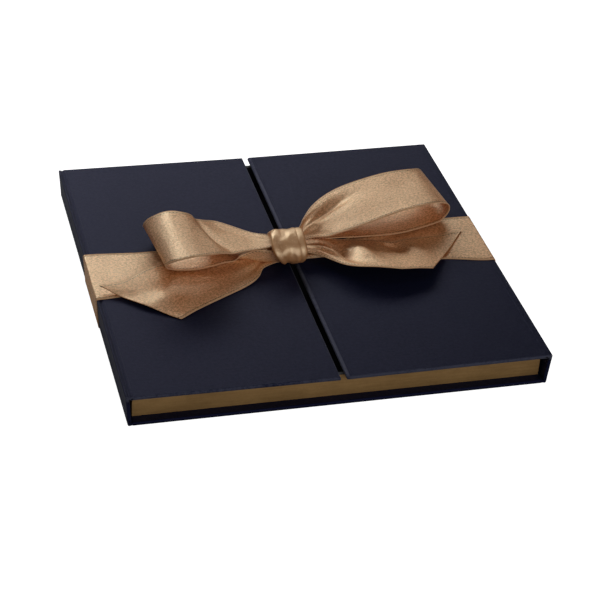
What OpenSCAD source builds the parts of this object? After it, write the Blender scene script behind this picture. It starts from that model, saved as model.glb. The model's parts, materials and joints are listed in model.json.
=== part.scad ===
// Shallow double-door gift box, closed with a wide satin ribbon tied in a bow.
// Origin: centre of the lowest face. +X right, +Y back, +Z up. Millimetres.

/* [Case] */
// Width across the two spines
box_w = 200; // [180:1:260]
// Depth from the front edge to the back edge
box_d = 200; // [140:1:260]
// Height from the underside of the base to the top of the doors at the spines
box_h = 15.9; // [13:0.1:30]
// Thickness of a covered panel
panel_t = 1.8; // [1.6:0.1:2.4]
// Thickness of the leatherette covering
cover_t = 0.3; // [0.2:0.05:0.4]
// Thickness of the lining paper on the inside of a panel
lining_t = 0.3; // [0.2:0.05:0.4]
// Width of the covering turned in over the inside of a panel
turn_in = 12; // [6:1:20]
// Radius on the edges of a panel
edge_r = 0.6; // [0.3:0.05:0.7]
// Gap between the free edges of the two doors
door_gap = 3.8; // [2:0.1:8]
// How far the free edge of a door sags below its hinged edge
door_sag = 0.6; // [0:0.1:1]
// How far the top of a spine leans out past its foot
spine_lean = 1.1; // [0:0.1:2]

/* [Folds] */
// Radius of the rolled covering inside a fold
fold_r = 0.85; // [0.5:0.05:0.9]
// Distance from the axis of a fold to the end of a panel
fold_reach = 1.5; // [1.4:0.05:2.2]

/* [Tray] */
// Distance from the front and back edges of the base to the tray
tray_recess = 5; // [2:0.5:12]
// Clearance between the tray and the foot of a spine
tray_side_gap = 0.9; // [0.5:0.1:4]
// Thickness of a tray wall board
tray_wall_t = 1.6; // [1:0.1:3]
// Thickness of the tray floor board
tray_floor_t = 1.2; // [0.8:0.1:3]
// Thickness of the gold paper on the tray
paper_t = 0.2; // [0.15:0.05:0.3]
// Clearance between the tray and the sagging edge of a door
tray_head_gap = 0.3; // [0.2:0.05:1]

/* [Ribbon] */
// Width of the ribbon
ribbon_w = 38; // [30:1:44]
// Thickness of the ribbon
ribbon_t = 0.4; // [0.3:0.05:0.5]
// How far the ribbon runs off the middle of the box at each spine
ribbon_skew = 2.8; // [0:0.1:6]
// Width of the ribbon where it is gathered under the knot
gather_w = 15; // [10:1:20]
// Distance from the knot over which the ribbon widens to its full width
gather_len = 52; // [30:1:60]

/* [Bow] */
// Width of the knot across the doors
knot_w = 16.4; // [12:0.1:18]
// Depth of the knot from front to back
knot_d = 21; // [16:0.1:24]
// Height of the knot
knot_h = 14.4; // [12:0.1:16]
// Height of the knot above the gathered ribbon
knot_lift = 0.4; // [0.2:0.05:1.2]
// Clearance between the knot and the ribbon ends that come out of it
knot_gap = 0.3; // [0.2:0.05:0.6]
// Tallest pucker in the gathered ribbon
pucker_h = 0.6; // [0.2:0.1:0.8]
// Number of puckers across the ribbon
puckers = 3; // [2:1:4]
// Share of the left tail's length that its slanted cut takes
left_tail_cut = 0.15; // [0.05:0.01:0.25]
// Share of the right tail's length that its slanted cut takes
right_tail_cut = 0.24; // [0.05:0.01:0.3]

/* [Hidden] */
$fn = 32;
overshoot = 1;                              // how far a cutting solid runs past a face
base_z = ribbon_t;                          // underside of the base, on the ribbon
foot = [-(box_w / 2 - spine_lean - panel_t / 2), base_z + panel_t / 2];
head = [-(box_w / 2 - panel_t / 2), base_z + box_h - panel_t / 2];
spine_len = norm(head - foot);              // from the lower fold to the upper fold
spine_angle = atan2(foot[0] - head[0], head[1] - foot[1]);
door_len = -head[0] - door_gap / 2;         // from the upper fold to the free edge
sag_angle = asin(door_sag / door_len);
deck_z = head[1] + panel_t / 2 - door_sag;  // top of the doors at the gap

tray_z = foot[1] + panel_t / 2;             // top of the base
tray_top = deck_z - panel_t - tray_head_gap;
tray_half_w = -foot[0] - panel_t / 2 - tray_side_gap;
tray_half_d = box_d / 2 - tray_recess;
tray_full_wall = tray_wall_t + 2 * paper_t;

knot_x = -2.8;                              // the knot sits a little left of the gap
knot_y = -1.1;
knot_z = deck_z + ribbon_t + knot_lift + knot_h / 2;
knot_left = knot_x - knot_w / 2 - knot_gap;
knot_right = knot_x + knot_w / 2 + knot_gap;

strip_rings = 40;                           // rings along one strip of the bow
strip_cells = 10;                           // cells across one strip of the bow

// Stations along the bow's ribbon: place of the middle of the ribbon, with the height
// taken from the top of the doors, turn of its width in plan, tilt of its width, and
// the share of its width that is left where it is gathered.
LEFT_LOOP = [
    [knot_left, 3.8, 9.3, 0, 4, 0.2],
    [-19, 7.4, 8.3, -5, -6, 0.5],
    [-32, 9, 9.6, 1, -5, 0.9],
    [-42, 2.5, 14.8, -1, -6, 1],
    [-52, -3.8, 20.8, -4, 1, 1],
    [-60, -3.4, 21, -2, 6, 1],
    [-66.2, 0.5, 16.2, 3, 4, 1],
    [-67.6, 4.5, 10.8, 6, 1, 1],
    [-63.5, 9.5, 5.3, 8, 0, 1],
    [-54, 10.5, 3.2, 8, 0, 1],
    [-41, 12, 3.6, 4, 0, 0.95],
    [-27, 9.5, 4.3, 1, 0, 0.7],
    [-16, 5, 5.2, 0, 0, 0.4],
    [knot_left, 3, 5.7, 0, 0, 0.2]
];
RIGHT_LOOP = [
    [knot_right, 4.8, 9.4, 0, 4, 0.2],
    [11, 11.8, 9, 0, 2, 0.45],
    [18, 17.5, 9.4, -1, 5, 0.7],
    [28, 22, 11, -8, 4, 0.95],
    [43, 25, 14, -5, 2, 1],
    [60, 29, 15.8, -5, 0, 1],
    [76, 33, 15.2, -4, -3, 1],
    [84, 38, 11.5, 3, -3, 1],
    [86.8, 41, 6.8, 5, -1, 1],
    [84, 39.5, 3.3, 5, 0, 1],
    [78, 36, 2.3, 4, 0, 1],
    [59, 30, 2.2, 2, 0, 1],
    [39, 26, 3.3, 1, 0, 0.9],
    [20, 18, 4.4, 0, 0, 0.5],
    [knot_right, 10, 6, 0, 0, 0.2]
];
LEFT_TAIL = [
    [knot_left, -2, 2.8, 0, 0, 0.16],
    [-16, -1.5, 2.4, 5, 0, 0.38],
    [-23, -4.5, 2.1, 15, 0, 0.58],
    [-32, -7.8, 1.9, 23, 0, 0.76],
    [-46, -12.9, 1.9, 27, 0, 0.9],
    [-62.5, -20.3, 1.7, 30, 0, 1],
    [-76, -29, 1.7, 32, 0, 1],
    [-86.5, -30, 2, 36, 0, 1]
];
RIGHT_TAIL = [
    [knot_right, 1, 2.8, 0, 0, 0.16],
    [17, 0, 2.6, -5, 0, 0.4],
    [25, -2.8, 2.4, -6, 0, 0.6],
    [38, -4.2, 2.3, -8, 0, 0.72],
    [51, -5.5, 2.3, -7, 0, 0.78],
    [68, -6.5, 2.2, -10, 0, 0.84],
    [89, -7.6, 2.2, -10, 0, 0.88]
];

// ---- Panels: boards, covering and lining ----

// Rounded bar, centred on the second axis
module bar_outline(a, b, t) {
    translate([a + edge_r, -t / 2]) square([b - a - 2 * edge_r, t]);
    translate([a, edge_r - t / 2]) square([b - a, t - 2 * edge_r]);
    for (u = [a + edge_r, b - edge_r], v = [edge_r - t / 2, t / 2 - edge_r])
        translate([u, v]) circle(r = edge_r);
}

// Flat panel from x = a to x = b with all four edges rounded
module slab(a, b) {
    intersection() {
        rotate([90, 0, 0]) linear_extrude(box_d, center = true) bar_outline(a, b, panel_t);
        translate([a, 0, 0]) rotate([90, 0, 90])
            linear_extrude(b - a) bar_outline(-box_d / 2, box_d / 2, panel_t);
    }
}

// Greyboard inside a panel; the outer face is +Z
module panel_board(a, b) {
    translate([a + cover_t, -box_d / 2 + cover_t, -panel_t / 2 + lining_t])
        cube([b - a - 2 * cover_t, box_d - 2 * cover_t, panel_t - cover_t - lining_t]);
}

// Paper inside the turned-in margins, which are m_a and m_b wide at the two ends
module panel_lining(a, b, m_a, m_b, spare = 0) {
    translate([a + m_a, -box_d / 2 + turn_in, -panel_t / 2 - spare])
        cube([b - a - m_a - m_b, box_d - 2 * turn_in, lining_t + spare]);
}

// Covering round the board, open where the lining lies
module panel_cover(a, b, m_a, m_b) {
    difference() {
        slab(a, b);
        panel_board(a, b);
        panel_lining(a, b, m_a, m_b, overshoot);
    }
}

// ---- Frames of the panels: X runs away from the fold, +Z is the outside ----

module spine_frame() {
    translate([foot[0], 0, foot[1]]) rotate([0, -90 - spine_angle, 0]) children();
}

module door_frame() {
    translate([head[0], 0, head[1]]) rotate([0, sag_angle, 0]) children();
}

module base_frame() {
    translate([0, 0, foot[1]]) mirror([0, 0, 1]) children();
}

module right_side() {
    mirror([1, 0, 0]) children();
}

base_end = -foot[0] - fold_reach;
spine_ends = [fold_reach, spine_len - fold_reach];
door_ends = [fold_reach, door_len];

// ---- Base ----

module base_board() { color("#8c8577") base_frame() panel_board(-base_end, base_end); }
module base_cover() {
    color("#23242c") base_frame() panel_cover(-base_end, base_end, cover_t, cover_t);
}
module base_lining() {
    color("#1c1c22") base_frame() panel_lining(-base_end, base_end, cover_t, cover_t);
}

// ---- Spines and doors, drawn for the left side ----

module spine_board() {
    color("#8c8577") spine_frame() panel_board(spine_ends[0], spine_ends[1]);
}
module spine_cover() {
    color("#2e303c") spine_frame() panel_cover(spine_ends[0], spine_ends[1], cover_t, cover_t);
}
module spine_lining() {
    color("#1c1c22") spine_frame() panel_lining(spine_ends[0], spine_ends[1], cover_t, cover_t);
}
module door_board() {
    color("#8c8577") door_frame() panel_board(door_ends[0], door_ends[1]);
}
module door_cover() {
    color("#2b2d38") door_frame() panel_cover(door_ends[0], door_ends[1], cover_t, turn_in);
}
module door_lining() {
    color("#1c1c22") door_frame() panel_lining(door_ends[0], door_ends[1], cover_t, turn_in);
}

// Covering rolled in the fold, with the tongue that joins it to the spine's covering
module fold_roll(end, away) {
    rotate([90, 0, 0]) linear_extrude(box_d - 2 * edge_r, center = true) {
        translate([end, 0]) circle(r = fold_r);
        translate([min(end, end + away * fold_reach), panel_t / 2 - edge_r - cover_t])
            square([fold_reach, cover_t]);
    }
}
module base_fold() { color("#1d1e26") spine_frame() fold_roll(0, 1); }
module door_fold() { color("#1d1e26") spine_frame() fold_roll(spine_len, -1); }

// ---- Tray ----

module tray_block(inset, z_low, z_high) {
    w = tray_half_w - inset;
    d = tray_half_d - inset;
    translate([-w, -d, z_low]) cube([2 * w, 2 * d, z_high - z_low]);
}

module tray_floor() {
    color("#8c8577") tray_block(tray_full_wall, tray_z, tray_z + tray_floor_t);
}
module long_wall() {
    w = tray_half_w - paper_t;
    translate([-w, -tray_half_d + paper_t, tray_z])
        cube([2 * w, tray_wall_t, tray_top - paper_t - tray_z]);
}
module short_wall() {
    d = tray_half_d - paper_t - tray_wall_t;
    translate([-tray_half_w + paper_t, -d, tray_z])
        cube([tray_wall_t, 2 * d, tray_top - paper_t - tray_z]);
}
module tray_front_wall() { color("#8c8577") long_wall(); }
module tray_back_wall() { color("#8c8577") mirror([0, 1, 0]) long_wall(); }
module tray_left_wall() { color("#8c8577") short_wall(); }
module tray_right_wall() { color("#8c8577") right_side() short_wall(); }

// Gold paper over the outside, the top edges and the inside of the walls
module tray_wrap() {
    color("#a5814a") difference() {
        tray_block(0, tray_z, tray_top);
        tray_block(tray_full_wall, tray_z - overshoot, tray_top + overshoot);
        difference() {
            tray_block(paper_t, tray_z - overshoot, tray_top - paper_t);
            tray_block(tray_full_wall - paper_t, tray_z - 2 * overshoot, tray_top);
        }
    }
}
module tray_liner() {
    color("#1c1c20") tray_block(tray_full_wall, tray_z + tray_floor_t, tray_z + tray_floor_t + paper_t);
}

// ---- Ribbon runs glued to the case ----

// Ring section round a fold, from angle a to angle b, in the plane across the fold
module ring_section(a, b) {
    far = panel_t + ribbon_t;
    intersection() {
        difference() {
            circle(r = panel_t / 2 + ribbon_t);
            circle(r = panel_t / 2);
        }
        polygon([[0, 0], far * [cos(a), sin(a)], 2 * far * [cos((a + b) / 2), sin((a + b) / 2)],
            far * [cos(b), sin(b)]]);
    }
}

// Profile across the folds drawn out along them, w wide
module across_folds(w) {
    rotate([90, 0, 0]) linear_extrude(w, center = true) children();
}

// The run under the base crosses it at a slant
module ribbon_under_run() {
    half = -foot[0];
    end = half + panel_t;
    shift = ribbon_skew * end / half;
    color("#c0a380") intersection() {
        across_folds(2 * ribbon_w) {
            translate([-half, 0]) square([2 * half, ribbon_t]);
            translate([-half, foot[1]]) ring_section(180 + spine_angle, 270);
            translate([half, foot[1]]) ring_section(270, 360 - spine_angle);
        }
        translate([0, 0, -overshoot]) linear_extrude(panel_t + 2 * overshoot) polygon([
            [-end, -shift - ribbon_w / 2], [end, shift - ribbon_w / 2],
            [end, shift + ribbon_w / 2], [-end, -shift + ribbon_w / 2]
        ]);
    }
}

// Run up a spine and round its upper fold, drawn for the left side
module side_run(skew) {
    color("#c0a380") spine_frame() translate([0, -skew, 0]) across_folds(ribbon_w) {
        translate([fold_reach, panel_t / 2]) square([spine_len - fold_reach, ribbon_t]);
        translate([spine_len, 0]) ring_section(-spine_angle - sag_angle, 90);
    }
}
module ribbon_left_side_run() { side_run(ribbon_skew); }
module ribbon_right_side_run() { right_side() side_run(-ribbon_skew); }

// Run across a door, narrowing to the knot, drawn for the left side
module top_run(skew) {
    wide_x = door_len + door_gap / 2 - gather_len;
    end_x = door_len + door_gap / 2 - knot_gap / 2;
    share = (wide_x - fold_reach) / (end_x - fold_reach);
    color("#c0a380") door_frame() translate([0, 0, panel_t / 2]) linear_extrude(ribbon_t) polygon([
        [fold_reach, -skew - ribbon_w / 2],
        [wide_x, -skew * (1 - share) - ribbon_w / 2],
        [end_x, -gather_w / 2],
        [end_x, gather_w / 2],
        [wide_x, -skew * (1 - share) + ribbon_w / 2],
        [fold_reach, -skew + ribbon_w / 2]
    ]);
}
module ribbon_left_top_run() { top_run(ribbon_skew); }
module ribbon_right_top_run() { right_side() top_run(-ribbon_skew); }

// ---- Bow ----

// Smooth curve through the stations, with t from 0 to 1 over the whole list
function station(list, k) = list[max(0, min(len(list) - 1, k))];
function blend(a, b, c, d, t) = 0.5 * (2 * b + (c - a) * t + (2 * a - 5 * b + 4 * c - d) * t * t
    + (3 * b - a - 3 * c + d) * t * t * t);
function along(list, t) =
    let (u = t * (len(list) - 1), k = min(floor(u), len(list) - 2))
    blend(station(list, k - 1), station(list, k), station(list, k + 1), station(list, k + 2), u - k);

function centre(s) = [s[0], s[1], deck_z + s[2]];
function across(s) = [-sin(s[3]) * cos(s[4]), cos(s[3]) * cos(s[4]), sin(s[4])];
function unit(v) = v / norm(v);
function facing(list, t) =
    let (step = 0.004, a = centre(along(list, max(0, t - step))), b = centre(along(list, min(1, t + step))))
    unit(cross(b - a, across(along(list, t))));

// Height of the puckers in gathered ribbon, which keep the ribbon's real width
function pucker(s, v) =
    let (share = max(0.05, min(1, s[5])), w = ribbon_w * share / (PI * puckers))
    min(pucker_h, w * sqrt(1 / share - 1)) * sin(360 * puckers * v);

function ribbon_point(list, t, v, side) =
    let (s = along(list, t))
    centre(s) + across(s) * ribbon_w * min(1, s[5]) * v
        + facing(list, t) * (pucker(s, v) + side * ribbon_t / 2);

// Strip of ribbon along the stations; cut is the share lost at the front edge of its end
module strip(list, cut = 0) {
    per_ring = 2 * (strip_cells + 1);
    points = [
        for (i = [0:strip_rings], k = [0:per_ring - 1])
            let (
                j = k <= strip_cells ? k : per_ring - 1 - k,
                side = k <= strip_cells ? 1 : -1,
                v = j / strip_cells - 0.5,
                t = i / strip_rings * (1 - cut * (0.5 - v))
            )
            ribbon_point(list, t, v, side)
    ];
    skin = [
        for (i = [0:strip_rings - 1], k = [0:per_ring - 1])
            let (a = i * per_ring + k, b = i * per_ring + (k + 1) % per_ring)
            each [[a, b, b + per_ring], [a, b + per_ring, a + per_ring]]
    ];
    last = strip_rings * per_ring;
    caps = [
        for (k = [0:strip_cells - 1])
            let (m = per_ring - 1 - k)
            each [
                [k + 1, k, m], [k + 1, m, m - 1],
                [last + k, last + k + 1, last + m], [last + k + 1, last + m - 1, last + m]
            ]
    ];
    polyhedron(points, concat(skin, caps));
}

module bow_left_loop() { color("#c79d74") strip(LEFT_LOOP); }
module bow_right_loop() { color("#d0b088") strip(RIGHT_LOOP); }
module bow_left_tail() { color("#b98f66") strip(LEFT_TAIL, left_tail_cut); }
module bow_right_tail() { color("#c3a27a") strip(RIGHT_TAIL, right_tail_cut); }

// Ribbon wrapped round the middle of the bow: rings round the X axis, fuller in the middle
module bow_knot() {
    rings = 10;
    sides = 28;
    end_share = 0.82;
    crease = 0.035;
    function girth(u) = end_share + (1 - end_share) * sqrt(1 - u * u);
    function wall(a, u) = girth(u) * (1 - crease * (1 + cos(3 * a + 60 * u)) / 2);
    points = [
        for (i = [0:rings], k = [0:sides - 1])
            let (u = 2 * i / rings - 1, a = 360 * k / sides)
            [knot_x + u * knot_w / 2, knot_y + wall(a, u) * knot_d / 2 * cos(a),
                knot_z + wall(a, u) * knot_h / 2 * sin(a)]
    ];
    skin = [
        for (i = [0:rings - 1], k = [0:sides - 1])
            let (a = i * sides + k, b = i * sides + (k + 1) % sides)
            each [[a, b + sides, b], [a, a + sides, b + sides]]
    ];
    low_cap = [for (k = [0:sides - 1]) k];
    high_cap = [for (k = [0:sides - 1]) rings * sides + sides - 1 - k];
    color("#cdb08a") polyhedron(points, concat(skin, [low_cap, high_cap]));
}

base_board();
base_cover();
base_lining();
spine_board();  // left_spine_board
spine_cover();  // left_spine_cover
spine_lining();  // left_spine_lining
right_side() spine_board();  // right_spine_board
right_side() spine_cover();  // right_spine_cover
right_side() spine_lining();  // right_spine_lining
door_board();  // left_door_board
door_cover();  // left_door_cover
door_lining();  // left_door_lining
right_side() door_board();  // right_door_board
right_side() door_cover();  // right_door_cover
right_side() door_lining();  // right_door_lining
base_fold();  // left_base_fold
door_fold();  // left_door_fold
right_side() base_fold();  // right_base_fold
right_side() door_fold();  // right_door_fold
tray_floor();
tray_front_wall();
tray_back_wall();
tray_left_wall();
tray_right_wall();
tray_wrap();
tray_liner();
ribbon_under_run();
ribbon_left_side_run();
ribbon_right_side_run();
ribbon_left_top_run();
ribbon_right_top_run();
bow_knot();
bow_left_loop();
bow_right_loop();
bow_left_tail();
bow_right_tail();
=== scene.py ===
"""Shallow double-door gift box in navy leatherette, tied with a wide satin ribbon."""
import json
import math

import bpy
import numpy as np
from mathutils import Matrix, Vector
from mathutils.bvhtree import BVHTree
from mathutils.kdtree import KDTree


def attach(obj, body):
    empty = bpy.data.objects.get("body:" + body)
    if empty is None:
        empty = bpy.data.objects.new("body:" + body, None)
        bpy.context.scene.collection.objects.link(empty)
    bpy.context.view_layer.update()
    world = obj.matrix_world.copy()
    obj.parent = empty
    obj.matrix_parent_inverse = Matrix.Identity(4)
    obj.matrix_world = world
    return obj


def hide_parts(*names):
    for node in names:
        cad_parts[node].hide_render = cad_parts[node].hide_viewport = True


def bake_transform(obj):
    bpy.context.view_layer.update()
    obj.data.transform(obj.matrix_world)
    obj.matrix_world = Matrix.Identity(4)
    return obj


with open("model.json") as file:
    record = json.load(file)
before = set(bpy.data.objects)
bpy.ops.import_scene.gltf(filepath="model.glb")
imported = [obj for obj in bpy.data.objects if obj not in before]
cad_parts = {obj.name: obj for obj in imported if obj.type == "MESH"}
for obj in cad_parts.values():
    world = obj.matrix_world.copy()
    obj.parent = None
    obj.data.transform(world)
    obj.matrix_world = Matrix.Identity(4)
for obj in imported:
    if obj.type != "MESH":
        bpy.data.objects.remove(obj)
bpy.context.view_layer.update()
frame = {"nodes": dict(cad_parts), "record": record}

MM = 0.001

# ---- Camera, floor and light ----

CAMERA_PLACE = Vector((-0.2237, -0.7653, 0.5263))
CAMERA_RIGHT = Vector((0.9670879, -0.2466659, 0.0624258))
CAMERA_UP = Vector((0.0877836, 0.5537307, 0.8280558))
CAMERA_LENS = 115.49


def make_camera():
    data = bpy.data.cameras.new("studio_camera")
    data.lens = CAMERA_LENS
    data.sensor_width = 36.0
    data.clip_start = 0.01
    camera = bpy.data.objects.new("studio_camera", data)
    back = CAMERA_RIGHT.cross(CAMERA_UP)
    turn = Matrix((CAMERA_RIGHT, CAMERA_UP, back)).transposed().to_4x4()
    camera.matrix_world = Matrix.Translation(CAMERA_PLACE) @ turn
    bpy.context.scene.collection.objects.link(camera)
    bpy.context.scene.camera = camera


make_camera()


class Signal:
    """A value inside a material; arithmetic on it adds Math nodes."""

    def __init__(self, finish, socket):
        self.finish, self.socket = finish, socket

    def _math(self, operation, *values):
        return self.finish.add("ShaderNodeMath", dict(enumerate(values)), operation=operation)

    def __add__(self, other):
        return self._math("ADD", self, other)

    def __sub__(self, other):
        return self._math("SUBTRACT", self, other)

    def __mul__(self, other):
        return self._math("MULTIPLY", self, other)

    def __radd__(self, other):
        return self._math("ADD", other, self)

    def __rsub__(self, other):
        return self._math("SUBTRACT", other, self)

    def __abs__(self):
        return self._math("ABSOLUTE", self)

    def least(self, other):
        return self._math("MINIMUM", self, other)

    def ease(self, low, high):
        """0 below low, 1 above high, smooth between them."""
        values = {"Value": self, "From Min": low, "From Max": high}
        return self.finish.add("ShaderNodeMapRange", values, interpolation_type="SMOOTHSTEP")


class Finish:
    """One material and the nodes in it."""

    def __init__(self, name):
        self.material = bpy.data.materials.new(name)
        self.material.use_nodes = True
        self.tree = self.material.node_tree
        self.tree.nodes.clear()

    def add(self, kind, sockets=None, out=0, **settings):
        """Adds a node: its settings first, then the values or links of its sockets."""
        node = self.tree.nodes.new(kind)
        for key, value in settings.items():
            setattr(node, key, value)
        for key, value in (sockets or {}).items():
            if isinstance(value, Signal):
                self.tree.links.new(value.socket, node.inputs[key])
            else:
                node.inputs[key].default_value = value
        return Signal(self, node.outputs[out])

    def place(self):
        return self.add("ShaderNodeTexCoord", out="Object")

    def stretched(self, vector, scale):
        """The vector times a scale on each axis."""
        return self.add("ShaderNodeVectorMath", {0: vector, 1: scale}, operation="MULTIPLY")

    def parts(self, vector):
        node = self.tree.nodes.new("ShaderNodeSeparateXYZ")
        self.tree.links.new(vector.socket, node.inputs[0])
        return [Signal(self, s) for s in node.outputs]

    def noise(self, vector, scale, detail=2.0, roughness=0.5):
        values = {"Vector": vector, "Scale": scale, "Detail": detail, "Roughness": roughness}
        return self.add("ShaderNodeTexNoise", values)

    def mixed(self, share, a, b):
        """Colour a at share 0, colour b at share 1."""
        a, b = ((*c, 1.0) if isinstance(c, tuple) else c for c in (a, b))
        return self.add("ShaderNodeMix", {0: share, 6: a, 7: b}, out=2, data_type="RGBA")

    def bump(self, height, distance, strength=1.0, under=None):
        values = {"Height": height, "Distance": distance, "Strength": strength}
        if under is not None:
            values["Normal"] = under
        return self.add("ShaderNodeBump", values)

    def close(self, **sockets):
        """Ends the tree in one Principled shader; _ in a name stands for a space."""
        values = {k.replace("_", " "): v for k, v in sockets.items()}
        shader = self.add("ShaderNodeBsdfPrincipled", values)
        output = self.tree.nodes.new("ShaderNodeOutputMaterial")
        self.tree.links.new(shader.socket, output.inputs["Surface"])
        return self.material


def make_floor():
    """Pale floor: it takes the object's shadow, and is white to the camera elsewhere."""
    finish = Finish("pale_floor")
    grain = finish.noise(finish.place(), 60.0)
    matt = finish.add("ShaderNodeBsdfDiffuse", {
        "Color": finish.mixed(grain, (0.78, 0.78, 0.78), (0.80, 0.80, 0.80))})
    seen = finish.add("ShaderNodeLightPath", out="Is Camera Ray")
    lift = finish.add("ShaderNodeEmission", {"Color": (1.0, 1.0, 1.0, 1.0), "Strength": seen * 0.95})
    both = finish.add("ShaderNodeAddShader", {0: matt, 1: lift})
    output = finish.tree.nodes.new("ShaderNodeOutputMaterial")
    finish.tree.links.new(both.socket, output.inputs["Surface"])
    mesh = bpy.data.meshes.new("floor")
    half = 3.0
    mesh.from_pydata([(-half, -half, 0), (half, -half, 0), (half, half, 0), (-half, half, 0)],
                     [], [(0, 1, 2, 3)])
    floor = bpy.data.objects.new("floor", mesh)
    mesh.materials.append(finish.material)
    bpy.context.scene.collection.objects.link(floor)


def make_lamp(name, place, size, power):
    """Rectangular lamp that faces the middle of the floor."""
    data = bpy.data.lights.new(name, "AREA")
    data.shape = "RECTANGLE"
    data.size, data.size_y = size
    data.energy = power
    lamp = bpy.data.objects.new(name, data)
    lamp.location = place
    lamp.rotation_euler = (-Vector(place)).to_track_quat("-Z", "Y").to_euler()
    bpy.context.scene.collection.objects.link(lamp)


def make_world():
    world = bpy.data.worlds.new("studio")
    bpy.context.scene.world = world
    world.use_nodes = True
    nodes, links = world.node_tree.nodes, world.node_tree.links
    nodes.clear()
    output = nodes.new("ShaderNodeOutputWorld")
    plain = nodes.new("ShaderNodeBackground")
    white = nodes.new("ShaderNodeBackground")
    path = nodes.new("ShaderNodeLightPath")
    mix = nodes.new("ShaderNodeMixShader")
    plain.inputs["Color"].default_value = (1.0, 1.0, 1.0, 1.0)
    plain.inputs["Strength"].default_value = 0.04
    white.inputs["Color"].default_value = (1.0, 1.0, 1.0, 1.0)
    white.inputs["Strength"].default_value = 1.0
    links.new(path.outputs["Is Camera Ray"], mix.inputs[0])
    links.new(plain.outputs[0], mix.inputs[1])
    links.new(white.outputs[0], mix.inputs[2])
    links.new(mix.outputs[0], output.inputs["Surface"])
    bpy.context.scene.view_settings.view_transform = "Standard"


make_floor()
make_world()
make_lamp("low_back", (-0.22, 0.60, 0.35), (0.42, 0.20), 1.65)
make_lamp("right_back", (0.20, 0.70, 0.35), (0.40, 0.20), 0.80)
make_lamp("top", (0.10, 0.10, 1.0), (0.50, 0.50), 0.4)
make_lamp("front", (0.10, -1.0, 0.48), (0.60, 0.40), 3.2)
make_lamp("right_front", (0.75, -0.60, 0.60), (0.50, 0.40), 1.0)

# ---- Sizes of the case, in millimetres, as in the part's source ----

PANEL = 1.8
FOOT = np.array([-98.0, 1.3])
HEAD = np.array([-99.1, 15.4])
HALF_DEPTH = 100.0
DOOR_SAG = 0.6
DOOR_GAP = 3.8
SPINE_LENGTH = float(np.linalg.norm(HEAD - FOOT))
DOOR_LENGTH = -HEAD[0] - DOOR_GAP / 2
UP_SPINE = (HEAD - FOOT) / SPINE_LENGTH
SAG_ANGLE = math.asin(DOOR_SAG / DOOR_LENGTH)
ALONG_DOOR = np.array([math.cos(SAG_ANGLE), -math.sin(SAG_ANGLE)])
DECK = HEAD[1] + PANEL / 2 - DOOR_SAG
FOLD_REACH = 1.5
RIBBON_T = 0.4
SKEW = 2.8
WIDTH = 38.0

# ---- Sizes of the pieces that are made here, in millimetres ----

TRAY_INNER_X = 94.6                               # from the middle to where the gold paper ends
TRAY_INNER_Y = 93.4
TRAY_RIM = 13.45
CLOTH = 0.36                                      # thickness of the ribbon's cloth
CORD_INSET = 0.1                                  # from the ribbon's edge to its cord
SEAM_INSET = 1.35                                 # from the ribbon's edge to its stitches
ROUND_END = 0.6                                   # rounded length at each end of a covering strip
KNOT = np.array([-2.8, -1.1, DECK + 8.0])
KNOT_SIZE = np.array([16.4, 22.0, 15.2])          # a little deeper and taller than in the part
KNOT_WRAP = 58.0                                  # length of the ribbon wound round the knot
KNOT_LEFT = KNOT[0] - KNOT_SIZE[0] / 2
KNOT_RIGHT = KNOT[0] + KNOT_SIZE[0] / 2

# ---- Finishes ----


def leatherette(name, tone, pale):
    """Fine grained leatherette: pebbles with linen-like threads, mottled, paler along the doors' edges as
    rubbed wear and a painted highlight.
    """
    finish = Finish(name)
    place = finish.place()
    pebble = finish.add("ShaderNodeTexVoronoi", {"Vector": place, "Scale": 1500.0}, out="Distance")
    thread_x = finish.noise(finish.stretched(place, (180.0, 1900.0, 900.0)), 1.0, 1.0)
    thread_y = finish.noise(finish.stretched(place, (1900.0, 180.0, 900.0)), 1.0, 1.0)
    mottle = finish.noise(place, 620.0, 4.0, 0.75)
    cloud = finish.noise(place, 22.0, 3.0, 0.5)
    grain = pebble * 0.5 + thread_x * 0.8 + thread_y * 0.8
    shade = (mottle * 1.1 + cloud * 0.3 + grain * 0.15).ease(0.62, 1.05)
    normal = finish.bump(grain, 0.05 * MM, 0.6)
    normal = finish.bump(mottle, 0.12 * MM, 0.35, normal)
    x, y, z = finish.parts(place)
    # Paler along the doors' free edges and their front and back edges: partly rubbed wear, partly a
    # painted highlight where the edges catch the light.
    far = (abs(x) - DOOR_GAP / 2 * MM).least(HALF_DEPTH * MM - abs(y))
    edge_wear_and_highlight = (1 - far.ease(0.1 * MM, 0.9 * MM)) * (mottle * 0.8 + cloud).ease(0.55, 1.0)
    on_doors = z.ease(13.7 * MM, 14.2 * MM)
    edge_wear_and_highlight = edge_wear_and_highlight * on_doors
    colour = finish.mixed(edge_wear_and_highlight * 0.7, finish.mixed(shade, tone, pale), (0.075, 0.078, 0.095))
    return finish.close(
        Base_Color=colour, Normal=normal, Roughness=0.61 - mottle * 0.10 + grain * 0.06, IOR=1.39,
        Specular_IOR_Level=0.50, Specular_Tint=(0.20, 0.24, 1.0, 1.0), Sheen_Weight=0.02,
        Sheen_Roughness=0.35, Sheen_Tint=(0.80, 0.84, 1.0, 1.0))


def lining_paper(name):
    finish = Finish(name)
    place = finish.place()
    fibre = finish.noise(finish.stretched(place, (500.0, 90.0, 500.0)), 1.0, 3.0)
    cloud = finish.noise(place, 35.0, 3.0)
    return finish.close(
        Base_Color=finish.mixed(fibre * 0.6 + cloud * 0.4, (0.003, 0.003, 0.004), (0.009, 0.009, 0.012)),
        Roughness=0.78 + fibre * 0.12, Specular_IOR_Level=0.1,
        Normal=finish.bump(fibre, 0.04 * MM, 0.5))


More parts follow.
